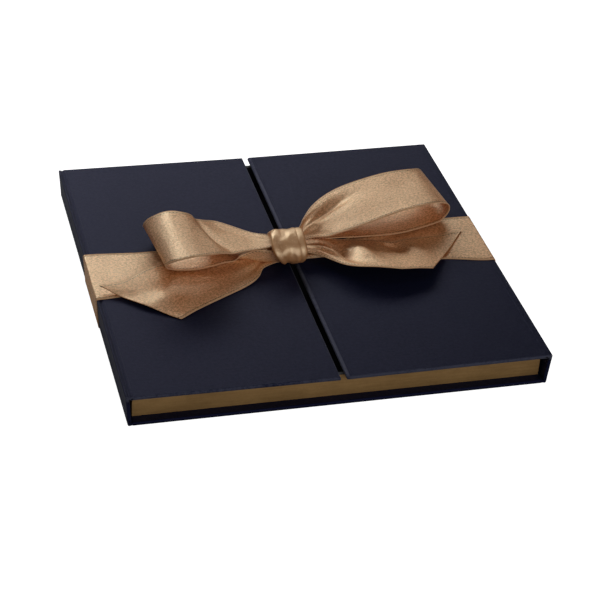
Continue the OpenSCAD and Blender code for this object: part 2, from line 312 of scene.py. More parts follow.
def grey_board(name):
    finish = Finish(name)
    place = finish.place()
    pulp = finish.noise(place, 420.0, 5.0, 0.65)
    fleck = finish.noise(place, 1300.0, 2.0).ease(0.66, 0.72)
    colour = finish.mixed(pulp, (0.19, 0.175, 0.15), (0.30, 0.28, 0.25))
    return finish.close(
        Base_Color=finish.mixed(fleck * 0.6, colour, (0.09, 0.08, 0.07)),
        Roughness=0.9 - pulp * 0.08, Normal=finish.bump(pulp, 0.08 * MM, 0.6))


def gold_paper(name):
    """Gold paper, fine brushed grain with a dusty sheen, painted near black inside the tray as shade in
    the recess under the doors.
    """
    finish = Finish(name)
    place = finish.place()
    brushed = finish.noise(finish.stretched(place, (90.0, 90.0, 1400.0)), 1.0, 3.0)
    cloud = finish.noise(place, 45.0, 4.0, 0.6)
    fleck = finish.noise(place, 1100.0, 2.0, 0.7)
    shade = (brushed * 0.3 + cloud * 0.5 + fleck * 0.2).ease(0.3, 0.7)
    colour = finish.mixed(shade, (0.27, 0.150, 0.050), (0.42, 0.245, 0.088))
    x, y, z = finish.parts(place)
    # Inside the tray, below its rim, the paper is painted near black: painted shade in the recess seen
    # through the gap between the doors.
    inside = (TRAY_INNER_X * MM - abs(x)).least(TRAY_INNER_Y * MM - abs(y)).ease(0.0, 0.2 * MM)
    inside = 1 - (1 - inside) * (1 - z.ease(TRAY_RIM * MM, (TRAY_RIM + 0.1) * MM))
    return finish.close(
        Base_Color=finish.mixed(inside, colour, (0.010, 0.010, 0.013)), Metallic=0.35,
        Roughness=0.46 + fleck * 0.12, Normal=finish.bump(brushed + fleck, 0.03 * MM, 0.5))


def satin(name, deep, pale, speck):
    """Satin ribbon: UV x is the distance along the ribbon and y the distance across it."""
    finish = Finish(name)
    cloth = finish.add("ShaderNodeUVMap", uv_map="cloth")
    place = finish.place()
    _, across, _ = finish.parts(cloth)
    inset = across.least(WIDTH * MM - across)
    floats = finish.noise(finish.stretched(cloth, (330.0, 3300.0, 1.0)), 1.0, 2.0)
    picks = finish.noise(finish.stretched(cloth, (2600.0, 700.0, 1.0)), 1.0, 1.0)
    speckle = finish.noise(finish.stretched(cloth, (760.0, 840.0, 1.0)), 1.0, 3.0, 0.9)
    cloud = finish.noise(place, 70.0, 3.0)
    shade = (speckle * speck + floats * 0.15 + cloud * 0.10).ease(0.44, 0.56)
    colour = finish.mixed(shade, deep, pale)
    edge = 1 - inset.ease(0.25 * MM, 0.9 * MM)
    colour = finish.mixed(edge * 0.55, colour, (0.62, 0.36, 0.17))
    furrow = 1 - abs(inset - SEAM_INSET * MM).ease(0.05 * MM, 0.35 * MM)
    colour = finish.mixed(furrow * 0.75, colour, (0.13, 0.045, 0.015))
    normal = finish.bump(speckle, 0.35 * MM, 0.8)
    normal = finish.bump(floats + picks * 0.5 - furrow * 1.2 + edge, 0.045 * MM, 0.5, normal)
    return finish.close(
        Base_Color=colour, Normal=normal, Metallic=0.0, Specular_IOR_Level=1.0, IOR=2.5,
        Specular_Tint=(1.0, 0.82, 0.56, 1.0), Roughness=0.21 + speckle * 0.21 + edge * 0.12)


def thread(name, tone, pale):
    finish = Finish(name)
    place = finish.place()
    ply = finish.noise(place, 2600.0, 2.0)
    return finish.close(
        Base_Color=finish.mixed(ply, tone, pale), Roughness=0.55 + ply * 0.2,
        Normal=finish.bump(ply, 0.03 * MM, 0.5), Sheen_Weight=0.2)


COVERING = leatherette("navy_leatherette", (0.0024, 0.0028, 0.0070), (0.0052, 0.0060, 0.0135))
# A slightly darker copy of the covering for the fold skins: painted shade in the folds.
FOLD_COVERING = leatherette("fold_shade_leatherette", (0.0024, 0.0028, 0.0068), (0.0050, 0.0056, 0.0125))
BOARD = grey_board("grey_board")
LINING = lining_paper("black_lining_paper")
GOLD_PAPER = gold_paper("gold_paper")
SATIN = satin("tan_satin", (0.36, 0.075, 0.0), (0.90, 0.450, 0.210), 0.75)
# A paler copy of the ribbon's satin for the knot: its lighter colours are a painted highlight for the
# knot's brighter lit front.
BRIGHT_KNOT_SATIN = satin("brightened_knot_satin", (0.66, 0.29, 0.11), (1.0, 0.60, 0.31), 0.6)
EDGE_THREAD = thread("edge_thread", (0.52, 0.27, 0.12), (0.85, 0.50, 0.26))
STITCH_THREAD = thread("stitch_thread", (0.07, 0.024, 0.008), (0.15, 0.060, 0.02))

SLOT_FINISHES = {"covering": COVERING, "board": BOARD, "lining": LINING, "gold_paper": GOLD_PAPER,
                 "ribbon": SATIN}
for part in frame["record"]["subparts"]:
    mesh = frame["nodes"][part["node"]].data
    mesh.materials.clear()
    mesh.materials.append(SLOT_FINISHES[part["material_slot"]])

# ---- Meshes ----


def new_piece(name, points, faces, material, uv=None):
    """Points are in millimetres; uv, in metres, is given for each point."""
    mesh = bpy.data.meshes.new(name)
    mesh.from_pydata([tuple(p) for p in np.array(points) * MM], [], faces)
    mesh.materials.append(material)
    if uv is not None:
        layer = mesh.uv_layers.new(name="cloth")
        corners = np.zeros(len(mesh.loops), dtype=np.int32)
        mesh.loops.foreach_get("vertex_index", corners)
        layer.data.foreach_set("uv", np.array(uv, dtype=np.float32)[corners].ravel())
    mesh.polygons.foreach_set("use_smooth", [True] * len(mesh.polygons))
    piece = bpy.data.objects.new(name, mesh)
    bpy.context.scene.collection.objects.link(piece)
    return piece


def grid_faces(rows, columns, closed=False):
    """Quads of a grid of points, stored row by row; closed joins the last row to the first."""
    turns = rows if closed else rows - 1
    return [(i * columns + j, (i + 1) % rows * columns + j, (i + 1) % rows * columns + j + 1,
             i * columns + j + 1) for i in range(turns) for j in range(columns - 1)]


def finish_mesh(piece, thickness=None):
    """Applies the piece's modifiers, with a wall of the thickness given, to its mesh."""
    if thickness:
        wall = piece.modifiers.new("wall", "SOLIDIFY")
        wall.thickness = thickness * MM
        wall.offset = 0.0
        wall.use_even_offset = False
    graph = bpy.context.evaluated_depsgraph_get()
    made = bpy.data.meshes.new_from_object(piece.evaluated_get(graph), depsgraph=graph)
    piece.modifiers.clear()
    piece.data = made
    return piece


def on_curve(rows, t):
    """The rows' values at t, from 0 to 1, on a smooth curve through them."""
    rows = np.array(rows, float)
    u = np.clip(t, 0, 1) * (len(rows) - 1)
    k = np.minimum(u.astype(int), len(rows) - 2)
    f = (u - k)[..., None]
    a, b, c, d = (rows[np.clip(k + n, 0, len(rows) - 1)] for n in (-1, 0, 1, 2))
    return 0.5 * (2 * b + (c - a) * f + (2 * a - 5 * b + 4 * c - d) * f**2
                  + (3 * b - a - 3 * c + d) * f**3)


def ramp(x, low, high):
    t = np.clip((x - low) / (high - low), 0, 1)
    return t * t * (3 - 2 * t)


class Strip:
    """A ribbon along stations [x, y, height above the doors, yaw, tilt, width share], and
    where its front is turned up also the share that is turned and the angle.

    Folds are ridges [place, across, length, width, turn, height] in millimetres and
    degrees, where place is the distance along the ribbon; a negative height is a valley.
    """

    def __init__(self, stations, folds=(), gather=1.0, cut=0.0, cut_curve=1.0):
        self.stations, self.folds, self.gather = stations, folds, gather
        self.cut, self.cut_curve = cut, cut_curve
        self.side = math.copysign(1, stations[-1][0] if cut else stations[len(stations) // 2][0])
        t = np.linspace(0, 1, 1201)
        step = np.linalg.norm(np.diff(self.centre(on_curve(stations, t)), axis=0), axis=1)
        self.t, self.length = t, np.concatenate([[0], np.cumsum(step)])
        self.total = self.length[-1]

    @staticmethod
    def centre(s):
        return s[..., :3] + np.array([0, 0, DECK])

    @staticmethod
    def across(s):
        yaw, tilt = np.radians(s[..., 3]), np.radians(s[..., 4])
        return np.stack([-np.sin(yaw) * np.cos(tilt), np.cos(yaw) * np.cos(tilt), np.sin(tilt)], -1)

    def surface(self, place, v):
        """Points and facings at distances along the ribbon, and shares across it."""
        t = np.interp(place, self.length, self.t)
        s = on_curve(self.stations, t)
        step = 0.004
        ahead = self.centre(on_curve(self.stations, t + step))
        behind = self.centre(on_curve(self.stations, t - step))
        across = self.across(s)
        facing = np.cross(ahead - behind, across) * self.side
        facing /= np.linalg.norm(facing, axis=-1, keepdims=True)
        share = np.clip(s[..., 5], 0.05, 1)
        rise = self.puckers(place, v, share) + self.ridges(place, v * WIDTH)
        over = WIDTH * share * v
        if s.shape[-1] > 6:
            reach, lift = self.turned_up(v, s[..., 6], np.radians(s[..., 7]))
            over = WIDTH * share * reach
            rise = rise + WIDTH * share * lift * np.sign(facing[..., 2])
        point = self.centre(s) + across * over[..., None] + facing * rise[..., None]
        return point, facing

    @staticmethod
    def turned_up(v, part, angle, steps=24):
        """Place across and height of the shares v where the front part is turned up."""
        soft = 0.13                               # half the width of the fold, as a share
        behind = (0.5 - v)[..., None]
        u = v[..., None] + behind * (np.arange(steps) + 0.5) / steps
        turn = angle[..., None] * ramp(part[..., None] - (u + 0.5), -soft, soft)
        turn = turn * ramp(part, 0, 0.1)[..., None]
        return 0.5 - (np.cos(turn) * behind).mean(-1), (np.sin(turn) * behind).mean(-1)

    def puckers(self, place, v, share):
        tall = np.minimum(2.0, WIDTH * share / 8 * np.sqrt(1 / share - 1))
        near = np.minimum(place, self.total - place if not self.cut else place)
        wave = np.sin(2 * np.pi * (1.7 * v + 0.12 + 0.25 * np.sin(4 * v + near / 17)))
        fine = 0.45 * np.sin(2 * np.pi * (3.9 * v + near / 60 + 0.3))
        return self.gather * tall * (wave + fine) * np.exp(-(near / 24) ** 2)

    def ridges(self, place, across):
        rise = np.zeros(np.broadcast(place, across).shape)
        for at, side, long, wide, turn, height in self.folds:
            c, s = math.cos(math.radians(turn)), math.sin(math.radians(turn))
            p, q = place - at, across - side
            along, over = c * p + s * q, c * q - s * p
            rise += height * np.exp(-(along / long) ** 2 - (over / wide) ** 2)
        return rise

    def grid(self, rows, columns):
        v = np.linspace(-0.5, 0.5, columns)[None, :] * np.ones((rows, 1))
        left = 1 - self.cut * (0.5 - v) ** self.cut_curve
        return np.linspace(0, 1, rows)[:, None] * self.total * left, v

    def piece(self, name, rows=150, columns=33):
        place, v = self.grid(rows, columns)
        points, _ = self.surface(place, v)
        uv = np.stack([place * MM, (v + 0.5) * WIDTH * MM], -1)
        piece = new_piece(name, points.reshape(-1, 3), grid_faces(rows, columns), SATIN,
                          uv=uv.reshape(-1, 2))
        return finish_mesh(piece, thickness=CLOTH)

    def edge_lines(self, inset, rows=260):
        """Points of the two lines that run inset inside the ribbon's edges."""
        lines = []
        for v in (-0.5 + inset / WIDTH, 0.5 - inset / WIDTH):
            place = np.linspace(0, self.total * (1 - self.cut * (0.5 - v) ** self.cut_curve), rows)
            lines.append(self.surface(place, np.full(rows, v))[0])
        return lines


LEFT_LOOP = [
    [KNOT_LEFT + 4, 1.5, 10.2, 0, 4, 0.24, 0, 0],
    [KNOT_LEFT, 1.5, 10.2, 0, 4, 0.26, 0, 0],
    [-19, 5.3, 8.5, -5, -3, 0.46, 0, 0],
    [-32, 9, 9.6, 1, -5, 0.9, 0, 0],
    [-42, 2.5, 14.8, -1, -6, 1, 0, 0],
    [-52, -3.8, 20.8, -4, 1, 1, 0, 0],
    [-60, -3.4, 21, -2, 6, 1, 0, 0],
    [-66.2, 0.5, 16.2, 3, 4, 1, 0, 0],
    [-67.6, 4.5, 10.8, 6, 1, 1, 0, 0],
    [-63.5, 9.5, 5.3, 8, 0, 1, 0, 0],
    [-54, 10, 3.9, 8, 0, 1, 0, 0],
    [-42, 10.5, 4.1, 4, 0, 0.93, 0, 100],
    [-33, 9.5, 3.4, 1, 0, 0.7, 0, 100],
    [-26, 6.6, 2.4, 0, 0, 0.58, 0.12, 95],
    [-19.5, -0.4, 1.3, 0, 0, 0.48, 0.36, 94],
    [-13.6, -2.9, 1.2, 0, 0, 0.43, 0.42, 90],
    [-8, -3.8, 1.2, 0, 0, 0.42, 0.45, 88],
]
RIGHT_LOOP = [
    [KNOT_RIGHT - 4, 3, 9, 0, 4, 0.2],
    [KNOT_RIGHT, 4.8, 10, 0, 4, 0.24],
    [11, 11.8, 9.4, 0, 2, 0.45],
    [18, 17.5, 9.4, -1, 5, 0.7],
    [28, 22, 11, -8, 4, 0.95],
    [43, 25, 14, -5, 2, 1],
    [60, 29, 15.8, -5, 0, 1],
    [76, 33, 15.2, -4, -3, 1],
    [84, 38, 11.5, 3, -3, 1],
    [86.8, 41, 6.8, 5, -1, 1],
    [84, 39.5, 3.3, 5, 0, 1],
    [78, 36, 2.3, 4, 0, 1],
    [59, 30, 2.2, 2, 0, 1],
    [39, 26, 3.3, 1, 0, 0.9],
    [20, 18, 4.4, 0, 0, 0.5],
    [KNOT_RIGHT, 8, 6, 0, 0, 0.2],
    [KNOT_RIGHT - 4, 5, 6.4, 0, 0, 0.18],
]
LEFT_TAIL = [
    [KNOT_LEFT + 4, 0, 0.8, 0, 0, 0.2],
    [KNOT_LEFT, 0, 0.8, 0, 0, 0.26],
    [-17, -1, 0.9, 6, 0, 0.38],
    [-23, -4.5, 1.3, 15, 2, 0.58],
    [-32, -7.8, 1.2, 23, 2, 0.76],
    [-46, -12.9, 1.9, 27, 5, 0.9],
    [-62.5, -20.3, 2.2, 30, 5.5, 1],
    [-76, -29, 2.1, 32, 5, 1],
    [-86.5, -30, 2.0, 36, 5, 1],
]
RIGHT_TAIL = [
    [KNOT_RIGHT - 4, 0.2, 5.2, 0, 0, 0.2],
    [KNOT_RIGHT, 0.6, 5.2, 0, 0, 0.24],
    [11.9, 0.6, 5.0, -2, 0, 0.36],
    [17.3, -1.6, 4.9, -5, -2, 0.53],
    [23.3, -5.2, 4.9, -6, -6, 0.75],
    [29.8, -7.4, 5.0, -8, -9, 0.87],
    [36.7, -8.7, 5.0, -8, -11, 0.94],
    [43.3, -10.4, 5.0, -7, -11, 0.95],
    [50.2, -12.2, 4.8, -7, -10, 0.9],
    [59.8, -11.3, 4.4, -9, -8, 0.91],
    [73.4, -9.8, 2.8, -10, -5, 0.91],
    [88.2, -7.6, 1.1, -10, -0.5, 0.91],
]
# Ridges and valleys: [distance along, across, half length, half width, turn, height].
LEFT_LOOP_FOLDS = [[37, 3, 18, 2.6, 64, -1.9], [43, 1, 18, 5, 64, 0.9], [28, 3, 18, 6, 40, 0.5],
                   [15, 7, 12, 2.5, 5, -0.5]]
RIGHT_LOOP_FOLDS = [[29, 5.5, 13, 4, 10, -2.6], [19, -5, 12, 3, -45, 1.4], [15, -13, 11, 2.5, -20, -1.3],
                    [71, 5, 9, 7, 0, -0.6], [44, -2, 12, 8, 0, 0.6]]
LEFT_TAIL_FOLDS = [[68.5, -4, 9, 6, 10, 1.6], [83, 8, 8, 5, 40, -0.8], [52, -3, 12, 7, 20, -0.8],
                   [58, 9, 12, 5, 20, 0.5]]
RIGHT_TAIL_FOLDS = [[24.2, 1, 10, 3.4, -62, -4.4], [34.5, 1, 10, 4.5, -66, 2.3], [14, -5, 8, 2.5, -4, 0.9],
                    [52.5, 11, 9, 3.4, -63, -1.9], [63, 3, 10, 5, -58, 1.2]]

# ---- Selvages: a cord along each edge and a row of stitches inside it ----


class Flow:
    """A Geometry Nodes tree; node() adds a node with its settings, then its sockets."""

    def __init__(self, name):
        self.tree = bpy.data.node_groups.new(name, "GeometryNodeTree")
        self.inputs = {}

    def socket(self, name, kind, default=None):
        item = self.tree.interface.new_socket(name, in_out="INPUT", socket_type=kind)
        if default is not None:
            item.default_value = default
        self.inputs[name] = item.identifier

    def node(self, kind, sockets=None, out=0, **settings):
        node = self.tree.nodes.new(kind)
        for key, value in settings.items():
            setattr(node, key, value)
        for key, value in (sockets or {}).items():
            if isinstance(value, bpy.types.NodeSocket):
                self.tree.links.new(value, node.inputs[key])
            else:
                node.inputs[key].default_value = value
        return node.outputs[out]


def selvage_flow():
    """Edges marked stitched carry stitches at a pitch, and the others a round cord."""
    flow = Flow("selvage")
    flow.tree.interface.new_socket("Geometry", in_out="OUTPUT", socket_type="NodeSocketGeometry")
    flow.socket("Lines", "NodeSocketGeometry")
    flow.socket("Pitch", "NodeSocketFloat", 1.6 * MM)
    flow.socket("Cord Radius", "NodeSocketFloat", 0.26 * MM)
    flow.socket("Stitch Radius", "NodeSocketFloat", 0.30 * MM)
    flow.socket("Seed", "NodeSocketInt", 7)
    flow.socket("Cord Material", "NodeSocketMaterial")
    flow.socket("Stitch Material", "NodeSocketMaterial")
    given = flow.tree.nodes.new("NodeGroupInput").outputs
    stitched = flow.node("GeometryNodeInputNamedAttribute", {"Name": "stitched"}, data_type="BOOLEAN")
    plain = flow.node("FunctionNodeBooleanMath", {0: stitched}, operation="NOT")
    cord = flow.node("GeometryNodeMeshToCurve", {"Mesh": given["Lines"], "Selection": plain})
    ring = flow.node("GeometryNodeCurvePrimitiveCircle", {"Resolution": 6, "Radius": given["Cord Radius"]})
    tube = flow.node("GeometryNodeCurveToMesh", {"Curve": cord, "Profile Curve": ring, "Fill Caps": True})
    tube = flow.node("GeometryNodeSetMaterial", {"Geometry": tube, "Material": given["Cord Material"]})
    seam = flow.node("GeometryNodeMeshToCurve", {"Mesh": given["Lines"], "Selection": stitched})
    points = flow.tree.nodes.new("GeometryNodeCurveToPoints")
    points.mode = "LENGTH"
    flow.tree.links.new(seam, points.inputs["Curve"])
    flow.tree.links.new(given["Pitch"], points.inputs["Length"])
    bead = flow.node("GeometryNodeMeshIcoSphere", {"Radius": given["Stitch Radius"], "Subdivisions": 1})
    least, most = 2, 3                            # this node's own sockets for plain numbers
    long = flow.node("FunctionNodeRandomValue", {least: 1.7, most: 2.5, "Seed": given["Seed"]}, out=1,
                     data_type="FLOAT")
    scale = flow.node("ShaderNodeCombineXYZ", {"X": 1.0, "Y": 1.0, "Z": long})
    stitches = flow.node("GeometryNodeInstanceOnPoints", {
        "Points": points.outputs["Points"], "Instance": bead,
        "Rotation": points.outputs["Rotation"], "Scale": scale})
    stitches = flow.node("GeometryNodeRealizeInstances", {"Geometry": stitches})
    stitches = flow.node("GeometryNodeSetMaterial", {
        "Geometry": stitches, "Material": given["Stitch Material"]})
    join = flow.tree.nodes.new("GeometryNodeJoinGeometry")
    flow.tree.links.new(stitches, join.inputs[0])
    flow.tree.links.new(tube, join.inputs[0])
    output = flow.tree.nodes.new("NodeGroupOutput")
    flow.tree.links.new(join.outputs[0], output.inputs["Geometry"])
    return flow


SELVAGE = selvage_flow()


def selvage(name, cords, seams):
    """One mesh of the cords and stitches along lists of points in millimetres."""
    points, edges, marks = [], [], []
    for lines, mark in ((cords, False), (seams, True)):
        for line in lines:
            first = len(points)
            points += [tuple(p) for p in np.array(line) * MM]
            edges += [(first + i, first + i + 1) for i in range(len(line) - 1)]
            marks += [mark] * (len(line) - 1)
    mesh = bpy.data.meshes.new(name)
    mesh.from_pydata(points, edges, [])
    mesh.materials.append(EDGE_THREAD)
    mesh.materials.append(STITCH_THREAD)
    mesh.attributes.new("stitched", "BOOLEAN", "EDGE").data.foreach_set("value", marks)
    piece = bpy.data.objects.new(name, mesh)
    bpy.context.scene.collection.objects.link(piece)
    flow = piece.modifiers.new("selvage", "NODES")
    flow.node_group = SELVAGE.tree
    flow[SELVAGE.inputs["Cord Material"]] = EDGE_THREAD
    flow[SELVAGE.inputs["Stitch Material"]] = STITCH_THREAD
    finish_mesh(piece)
    piece.data.polygons.foreach_set("use_smooth", [True] * len(piece.data.polygons))
    return piece


BOW = {
    "left_loop": (Strip(LEFT_LOOP, LEFT_LOOP_FOLDS, 0.05), "bow_left_loop"),
    "right_loop": (Strip(RIGHT_LOOP, RIGHT_LOOP_FOLDS, 0.35), "bow_right_loop"),
    "left_tail": (Strip(LEFT_TAIL, LEFT_TAIL_FOLDS, 0.25, 0.15, 1.3), "bow_left_tail"),
    "right_tail": (Strip(RIGHT_TAIL, RIGHT_TAIL_FOLDS, 0.62, 0.24, 1.0), "bow_right_tail"),
}
for name, (strip, node) in BOW.items():
    edging = selvage(name + "_selvage", strip.edge_lines(CORD_INSET), strip.edge_lines(SEAM_INSET))
    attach(edging, "left_door")
    piece = strip.piece(name + "_ribbon")
    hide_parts(node)
    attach(piece, "left_door")
    name + "_selvage"

# ---- Band round the case ----


class Band:
    """The ribbon along a path of [x, z] in the left half of the case."""

    def __init__(self, path, middle, narrow):
        path = np.array(path, float)
        step = np.linalg.norm(np.diff(path, axis=0), axis=1)
        keep = np.concatenate([[True], step > 1e-6])
        self.path = path[keep]
        step = np.linalg.norm(np.diff(self.path, axis=0), axis=1)
        self.length = np.concatenate([[0], np.cumsum(step)])
        self.total = self.length[-1]
        self.middle, self.narrow = middle, narrow

    def surface(self, place, v, side):
        x = np.interp(place, self.length, self.path[:, 0])
        z = np.interp(place, self.length, self.path[:, 1])
        share = self.narrow(place)
        pucker = np.minimum(1.1, WIDTH * share / 12 * np.sqrt(np.maximum(0, 0.88 / share - 1)))
        z = z + pucker * (1 + np.sin(2 * np.pi * (3.2 * v + 0.4))) * 0.5
        y = -self.middle(place) * side + WIDTH * share * v
        return np.stack([x * side, y, z], -1)

    def piece(self, name, side, places, columns=21):
        v = np.linspace(-0.5, 0.5, columns)[None, :] * np.ones((len(places), 1))
        place = places[:, None] * np.ones((1, columns))
        points = self.surface(place, v, side)
        uv = np.stack([place * MM, (v + 0.5) * WIDTH * MM], -1)
        faces = grid_faces(len(places), columns)
        if side < 0:
            faces = [f[::-1] for f in faces]
        piece = new_piece(name, points.reshape(-1, 3), faces, SATIN, uv=uv.reshape(-1, 2))
        return finish_mesh(piece, thickness=CLOTH)


def bend(middle, radius, start, end, steps=15):
    """Points round a fold: nearly square, with a rounded corner."""
    square = 3.2                                  # 2 is a round corner
    turn = np.linspace(0, np.pi / 2, steps)
    far = radius / (np.cos(turn) ** square + np.sin(turn) ** square) ** (1 / square)
    a = np.radians(start + (end - start) * turn / (np.pi / 2))
    return [[middle[0] + r * math.cos(x), middle[1] + r * math.sin(x)] for r, x in zip(far, a)]


SPINE_TURN = 180 + math.degrees(math.atan2(FOOT[0] - HEAD[0], HEAD[1] - FOOT[1]))
DOOR_TURN = 90 - math.degrees(SAG_ANGLE)
RIBBON_MIDDLE = PANEL / 2 + RIBBON_T / 2
OUT_OF_SPINE = np.array([math.cos(math.radians(SPINE_TURN)), math.sin(math.radians(SPINE_TURN))])
SPINE_HALF = FOOT + UP_SPINE * SPINE_LENGTH / 2 + OUT_OF_SPINE * RIBBON_MIDDLE
OUT_OF_DOOR = np.array([math.cos(math.radians(DOOR_TURN)), math.sin(math.radians(DOOR_TURN))])
END_BACK = 3.0                                    # from the middle of the gap to a band's end

LOW_PATH = [[0, RIBBON_T / 2], *bend(FOOT, RIBBON_MIDDLE, 270, SPINE_TURN), SPINE_HALF]
HIGH_PATH = [SPINE_HALF, *bend(HEAD, RIBBON_MIDDLE, SPINE_TURN, DOOR_TURN),
             HEAD + ALONG_DOOR * (DOOR_LENGTH + DOOR_GAP / 2 - END_BACK) + OUT_OF_DOOR * RIBBON_MIDDLE]
EDGE = SPINE_LENGTH / 2 + 1.9                     # from the middle of a spine to the door's top
HIGH_END = EDGE + DOOR_LENGTH - 2                 # about where a band ends at the gap
NARROW_FROM, NARROW_TO = HIGH_END - 62, HIGH_END - 20
ON_DOOR = EDGE, EDGE + 28
FLARE = {"left": 0.03, "right": 0.08}             # how much the ribbon is pulled wide at a side
SHIFT = {"left": (-0.6, -3.6), "right": (2.6, 4.5)}   # of its middle, on the door and at the knot


def low_band(word):
    return Band(LOW_PATH, lambda p: SKEW * np.clip(p / -FOOT[0], 0, 1),
                lambda p: 1 + FLARE[word] * ramp(p, 50, 98))


def high_band(word):
    on_door, at_knot = SHIFT[word]

    def middle(p):
        near = ramp(p, NARROW_FROM, NARROW_TO)
        return (SKEW + on_door * ramp(p, *ON_DOOR)) * (1 - near) + at_knot * near

    def share(p):
        near = ramp(p, NARROW_FROM, NARROW_TO)
        return (1 + FLARE[word] - 0.12 * ramp(p, *ON_DOOR)) * (1 - 0.66 * near)

    return Band(HIGH_PATH, middle, share)


def places_of(band, fine_from, fine_to, coarse=34, fine=26):
    """Places along a band, closer together round its fold."""
    first = np.linspace(0, fine_from, max(2, int(coarse * fine_from / band.total)))
    middle = np.linspace(fine_from, fine_to, fine)
    last = np.linspace(fine_to, band.total, max(2, int(coarse * (band.total - fine_to) / band.total)))
    return np.unique(np.concatenate([first, middle, last]).round(6))


def band_selvage(name, band, side, places):
    """Cords and stitches along both edges of a band."""
    lines = [[band.surface(places, np.full(len(places), end * (0.5 - inset / WIDTH)), side)
              for end in (-1, 1)] for inset in (CORD_INSET, SEAM_INSET)]
    edging = selvage(name, *lines)
    return edging


for word, side in (("left", 1), ("right", -1)):
    def at(point, side=side):
        return (point[0] * side * MM, 0, point[1] * MM)

    band = low_band(word)
    places = places_of(band, fine_from=-FOOT[0] - 1, fine_to=band.total - 5.2)
    ends = {"start": at(FOOT + [FOLD_REACH, 0]), "end": at(FOOT + UP_SPINE * FOLD_REACH)}
    piece = band.piece(word + "_low_band", side, places)
    if word == "left":
        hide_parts("ribbon_under_run")
    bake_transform(piece)
    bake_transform(band_selvage(word + "_low_band_selvage", band, side, places))

    band = high_band(word)
    places = places_of(band, fine_from=5, fine_to=10, coarse=90)
    ends = {"start": at(HEAD - UP_SPINE * FOLD_REACH), "end": at(HEAD + ALONG_DOOR * FOLD_REACH)}
    piece = band.piece(word + "_high_band", side, places)
    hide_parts(f"ribbon_{word}_side_run", f"ribbon_{word}_top_run")
    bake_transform(piece)
    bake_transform(band_selvage(word + "_high_band_selvage", band, side, places))


def lay_over(ribbon, edging, band, door, clearance=0.42):
    """Lifts a ribbon, and its edging with it, where it would sink into the band or the door.

    The clearance is from what lies under the ribbon to the middle of its thickness.
    """
    points, faces = [], []
    for under in (band, door):
        faces += [[len(points) + i for i in face.vertices] for face in under.data.polygons]
        points += [under.matrix_world @ point.co for point in under.data.vertices]
    tree = BVHTree.FromPolygons(points, faces)
    cloth = ribbon.data.vertices
    half = len(cloth) // 2
    above, down = Vector((0, 0, 50 * MM)), Vector((0, 0, -1))
    near, lifts = KDTree(half), []
    for i in range(half):
        middle = (cloth[i].co + cloth[i + half].co) / 2
        hit = tree.ray_cast(middle + above, down)[0]
        lifts.append(max(0.0, hit.z + clearance * MM - middle.z) if hit else 0.0)
        near.insert(middle, i)
    near.balance()
    for point in edging.data.vertices:
        point.co.z += lifts[near.find(point.co)[1]]
    for i, lift in enumerate(lifts):
        cloth[i].co.z += lift
        cloth[i + half].co.z += lift


for word in ("left", "right"):
    lay_over(*(bpy.data.objects[word + end] for end in
               ("_tail_ribbon", "_tail_selvage", "_high_band", "_door_cover")))

# ---- Coverings round the folds ----

# Outlines of the covering in a fold, from one panel round to the other. Rows are
# [0 for the first panel or 1 for the last, distance along it, distance outwards]. The left
# upper fold is creased and the right one is taut.
HEAD_OUTER = {
    "left": [[0, -2.4, 0.92], [0, -1.5, 0.92], [0, -0.5, 0.93], [0, 0.3, 0.92], [0, 0.72, 0.72],
             [0, 0.88, 0.25], [1, 0.25, 0.62], [1, 0.8, 0.36], [1, 1.25, 0.45], [1, 1.7, 0.80],
             [1, 2.15, 0.92], [1, 2.6, 0.92]],
    "right": [[0, -2.4, 0.92], [0, -1.5, 0.92], [0, -0.5, 0.93], [0, 0.3, 0.92], [0, 0.72, 0.78],
              [0, 0.88, 0.45], [1, 0.10, 0.80], [1, 0.8, 0.86], [1, 1.25, 0.89], [1, 1.7, 0.92],
              [1, 2.15, 0.92], [1, 2.6, 0.92]],
}
FOLD_INNER = [[0, -2.4, -0.92], [0, -2.0, -0.92], [0, -1.6, -0.85], [0, -1.2, -0.62],
              [0, -0.8, -0.55], [0, -0.5, -0.5], [1, 0.5, -0.5], [1, 0.8, -0.55], [1, 1.2, -0.62],
              [1, 1.6, -0.85], [1, 2.0, -0.92], [1, 2.4, -0.92]]
FOOT_OUTER = [[0, -2.4, 0.90], [0, -1.9, 0.89], [0, -1.5, 0.80], [0, -1.1, 0.70], [0, -0.6, 0.74],
              [0, -0.1, 0.86], [0, 0.45, 0.88], [1, -0.45, 0.80], [1, 0.0, 0.93], [1, 0.8, 0.93],
              [1, 1.6, 0.92], [1, 2.4, 0.92]]


def drawn_in(y):
    """0 along a strip of covering, and up to 1 in its rounded ends."""
    depth = max(0.0, abs(y) - (HALF_DEPTH - ROUND_END)) / ROUND_END
    return 1 - math.sqrt(max(0.0, 1 - depth * depth))


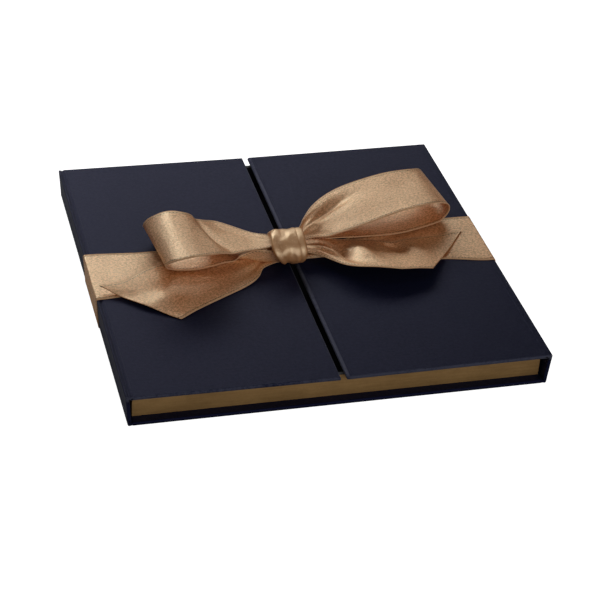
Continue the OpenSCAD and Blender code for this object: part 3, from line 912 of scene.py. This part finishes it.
def fold_skin(name, side, hinge, first, last, outer):
    """Closed strip of covering in a fold. First and last are the directions along and out
    of the two panels that meet at the hinge."""
    def place(row):
        which, far, out = row
        along, normal = last if which else first
        return hinge + along * far + normal * out

    t = np.linspace(0, 1, 27)
    top = on_curve([place(r) for r in outer], t)
    low = on_curve([place(r) for r in FOLD_INNER], t)
    middle = (top + low) / 2
    ring = np.concatenate([top, low[::-1]])
    ring_middle = np.concatenate([middle, middle[::-1]])
    straight = HALF_DEPTH - ROUND_END
    ends = HALF_DEPTH - ROUND_END * (1 - np.sin(np.linspace(0, np.pi / 2, 6)))
    ys = np.concatenate([-ends[::-1], np.linspace(-straight, straight, 61)[1:-1], ends])
    points = []
    for y in ys:
        row = ring + (ring_middle - ring) * 0.62 * drawn_in(y)
        points.append(np.stack([row[:, 0] * side, np.full(len(row), y), row[:, 1]], -1))
    count = len(ring)
    faces = [(i * count + j, i * count + (j + 1) % count, (i + 1) * count + (j + 1) % count,
              (i + 1) * count + j) for i in range(len(ys) - 1) for j in range(count)]
    steps = len(top)
    last_row = (len(ys) - 1) * count
    for j in range(steps - 1):
        k = count - 1 - j
        faces.append((k, k - 1, j + 1, j))
        faces.append((last_row + j, last_row + j + 1, last_row + k - 1, last_row + k))
    if side < 0:
        faces = [f[::-1] for f in faces]
    # The fold skin wears the darker copy of the covering, painted shade.
    piece = new_piece(name, np.array(points).reshape(-1, 3), faces, FOLD_COVERING)
    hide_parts(name.replace("_skin", ""))
    start = hinge + first[0] * -FOLD_REACH
    end = hinge + last[0] * FOLD_REACH
    start[0] * side * MM
    start[1] * MM
    end[0] * side * MM
    end[1] * MM
    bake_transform(piece)


BASE_ALONG, BASE_OUT = np.array([-1.0, 0.0]), np.array([0.0, -1.0])
for word, side in (("left", 1), ("right", -1)):
    spine_panel, door_panel = (UP_SPINE, OUT_OF_SPINE), (ALONG_DOOR, OUT_OF_DOOR)
    fold_skin(word + "_door_fold_skin", side, HEAD, spine_panel, door_panel, HEAD_OUTER[word])
    fold_skin(word + "_base_fold_skin", side, FOOT, (BASE_ALONG, BASE_OUT), spine_panel, FOOT_OUTER)

# ---- Free edge of the right door ----


def edge_roll():
    """Covering rolled over the right door's free edge, a closed strip with drawn in ends."""
    outline = [[-1.6, 0.90], [-1.0, 0.935], [-0.4, 0.94], [0.15, 0.88], [0.60, 0.70], [0.92, 0.38],
               [1.05, -0.05], [0.92, -0.45], [0.60, -0.75], [0.10, -0.91], [-0.8, -0.93], [-1.6, -0.88]]
    ring = on_curve(outline, np.linspace(0, 1, 30))
    middle = ring.mean(axis=0)
    ends = HALF_DEPTH - ROUND_END * np.array([1, 1 / 3, 0])
    ys = np.concatenate([-ends[::-1], np.linspace(2 - HALF_DEPTH, HALF_DEPTH - 2, 50), ends])
    points = []
    for y in ys:
        far = middle + (ring - middle) * (1 - 0.7 * drawn_in(y))
        place = HEAD + ALONG_DOOR * (DOOR_LENGTH + far[:, :1]) + OUT_OF_DOOR * far[:, 1:]
        points.append(np.stack([-place[:, 0], np.full(len(ring), y), place[:, 1]], -1))
    count, rows = len(ring), len(ys)
    faces = [(i * count + j, (i + 1) * count + j, (i + 1) * count + (j + 1) % count,
              i * count + (j + 1) % count) for i in range(rows - 1) for j in range(count)]
    faces += [tuple(range(count)), tuple((rows - 1) * count + j for j in reversed(range(count)))]
    piece = new_piece("right_door_edge_roll", np.array(points).reshape(-1, 3), faces, COVERING)
    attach(piece, "right_door")


edge_roll()

# ---- Knot ----

KNOT_PROFILE = [
    [-7.3, 2.3], [-7.2, 1.1], [-6.6, 0.3], [-4.8, 0.0], [-2.4, 0.12], [0.0, 0.05], [2.2, 0.0],
    [3.3, 0.2], [3.8, 0.5], [3.3, 0.85], [1.5, 0.95], [-1.5, 1.0], [-4.4, 1.1], [-5.0, 1.4],
    [-4.4, 1.7], [0.0, 1.6], [3.2, 1.0], [4.6, 0.55], [6.0, 0.6], [6.8, 1.2], [7.1, 2.5],
]


def knot_ribbon():
    """Ribbon wound round the middle of the bow, folded in three across its width."""
    rings, columns = 120, 84
    boxy = 2.2                                    # 2 is a round knot
    profile = on_curve(KNOT_PROFILE, np.linspace(0, 1, columns))
    step = np.linalg.norm(np.diff(profile, axis=0), axis=1)
    over = np.concatenate([[0], np.cumsum(step)])
    angle = np.linspace(0, 2 * np.pi, rings, endpoint=False)[:, None]
    x, inset = profile[:, 0][None, :], profile[:, 1][None, :]
    outer = np.exp(-(over / (over[-1] * 0.36)) ** 4)[None, :]
    front_low = np.exp(-((angle - 1.3 * np.pi) / 0.75) ** 2)
    wide = 1.16 - 0.42 * front_low
    drift = 0.9 * front_low + 0.5 * np.sin(2 * angle)
    pleat = 0.34 * np.sin(0.80 * x + 3 * angle - 1.4) + 0.16 * np.sin(1.35 * x - 2 * angle + 1)
    fold = 0.55 * np.exp(-((angle - 0.66 * np.pi) / 0.22) ** 2) * np.sin(0.85 * x + 0.6)
    inset = inset + outer * (0.7 + pleat + fold)
    half_d, half_h = KNOT_SIZE[1] / 2 - inset, KNOT_SIZE[2] / 2 - inset
    square = 1 / (np.abs(np.cos(angle)) ** boxy + np.abs(np.sin(angle)) ** boxy) ** (1 / boxy)
    points = np.stack([KNOT[0] + x * wide + drift, KNOT[1] + half_d * square * np.cos(angle),
                       KNOT[2] + half_h * square * np.sin(angle)], -1)
    uv = np.stack([angle / (2 * np.pi) * KNOT_WRAP * MM * np.ones_like(x),
                   over[None, :] / over[-1] * WIDTH * MM * np.ones_like(angle)], -1)
    faces = grid_faces(rings, columns, closed=True)
    # The knot wears the paler copy of the satin, a painted highlight.
    piece = new_piece("knot_ribbon", points.reshape(-1, 3), faces, BRIGHT_KNOT_SATIN, uv=uv.reshape(-1, 2))
    return finish_mesh(piece, thickness=CLOTH)


piece = knot_ribbon()
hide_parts("bow_knot")
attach(piece, "left_door")
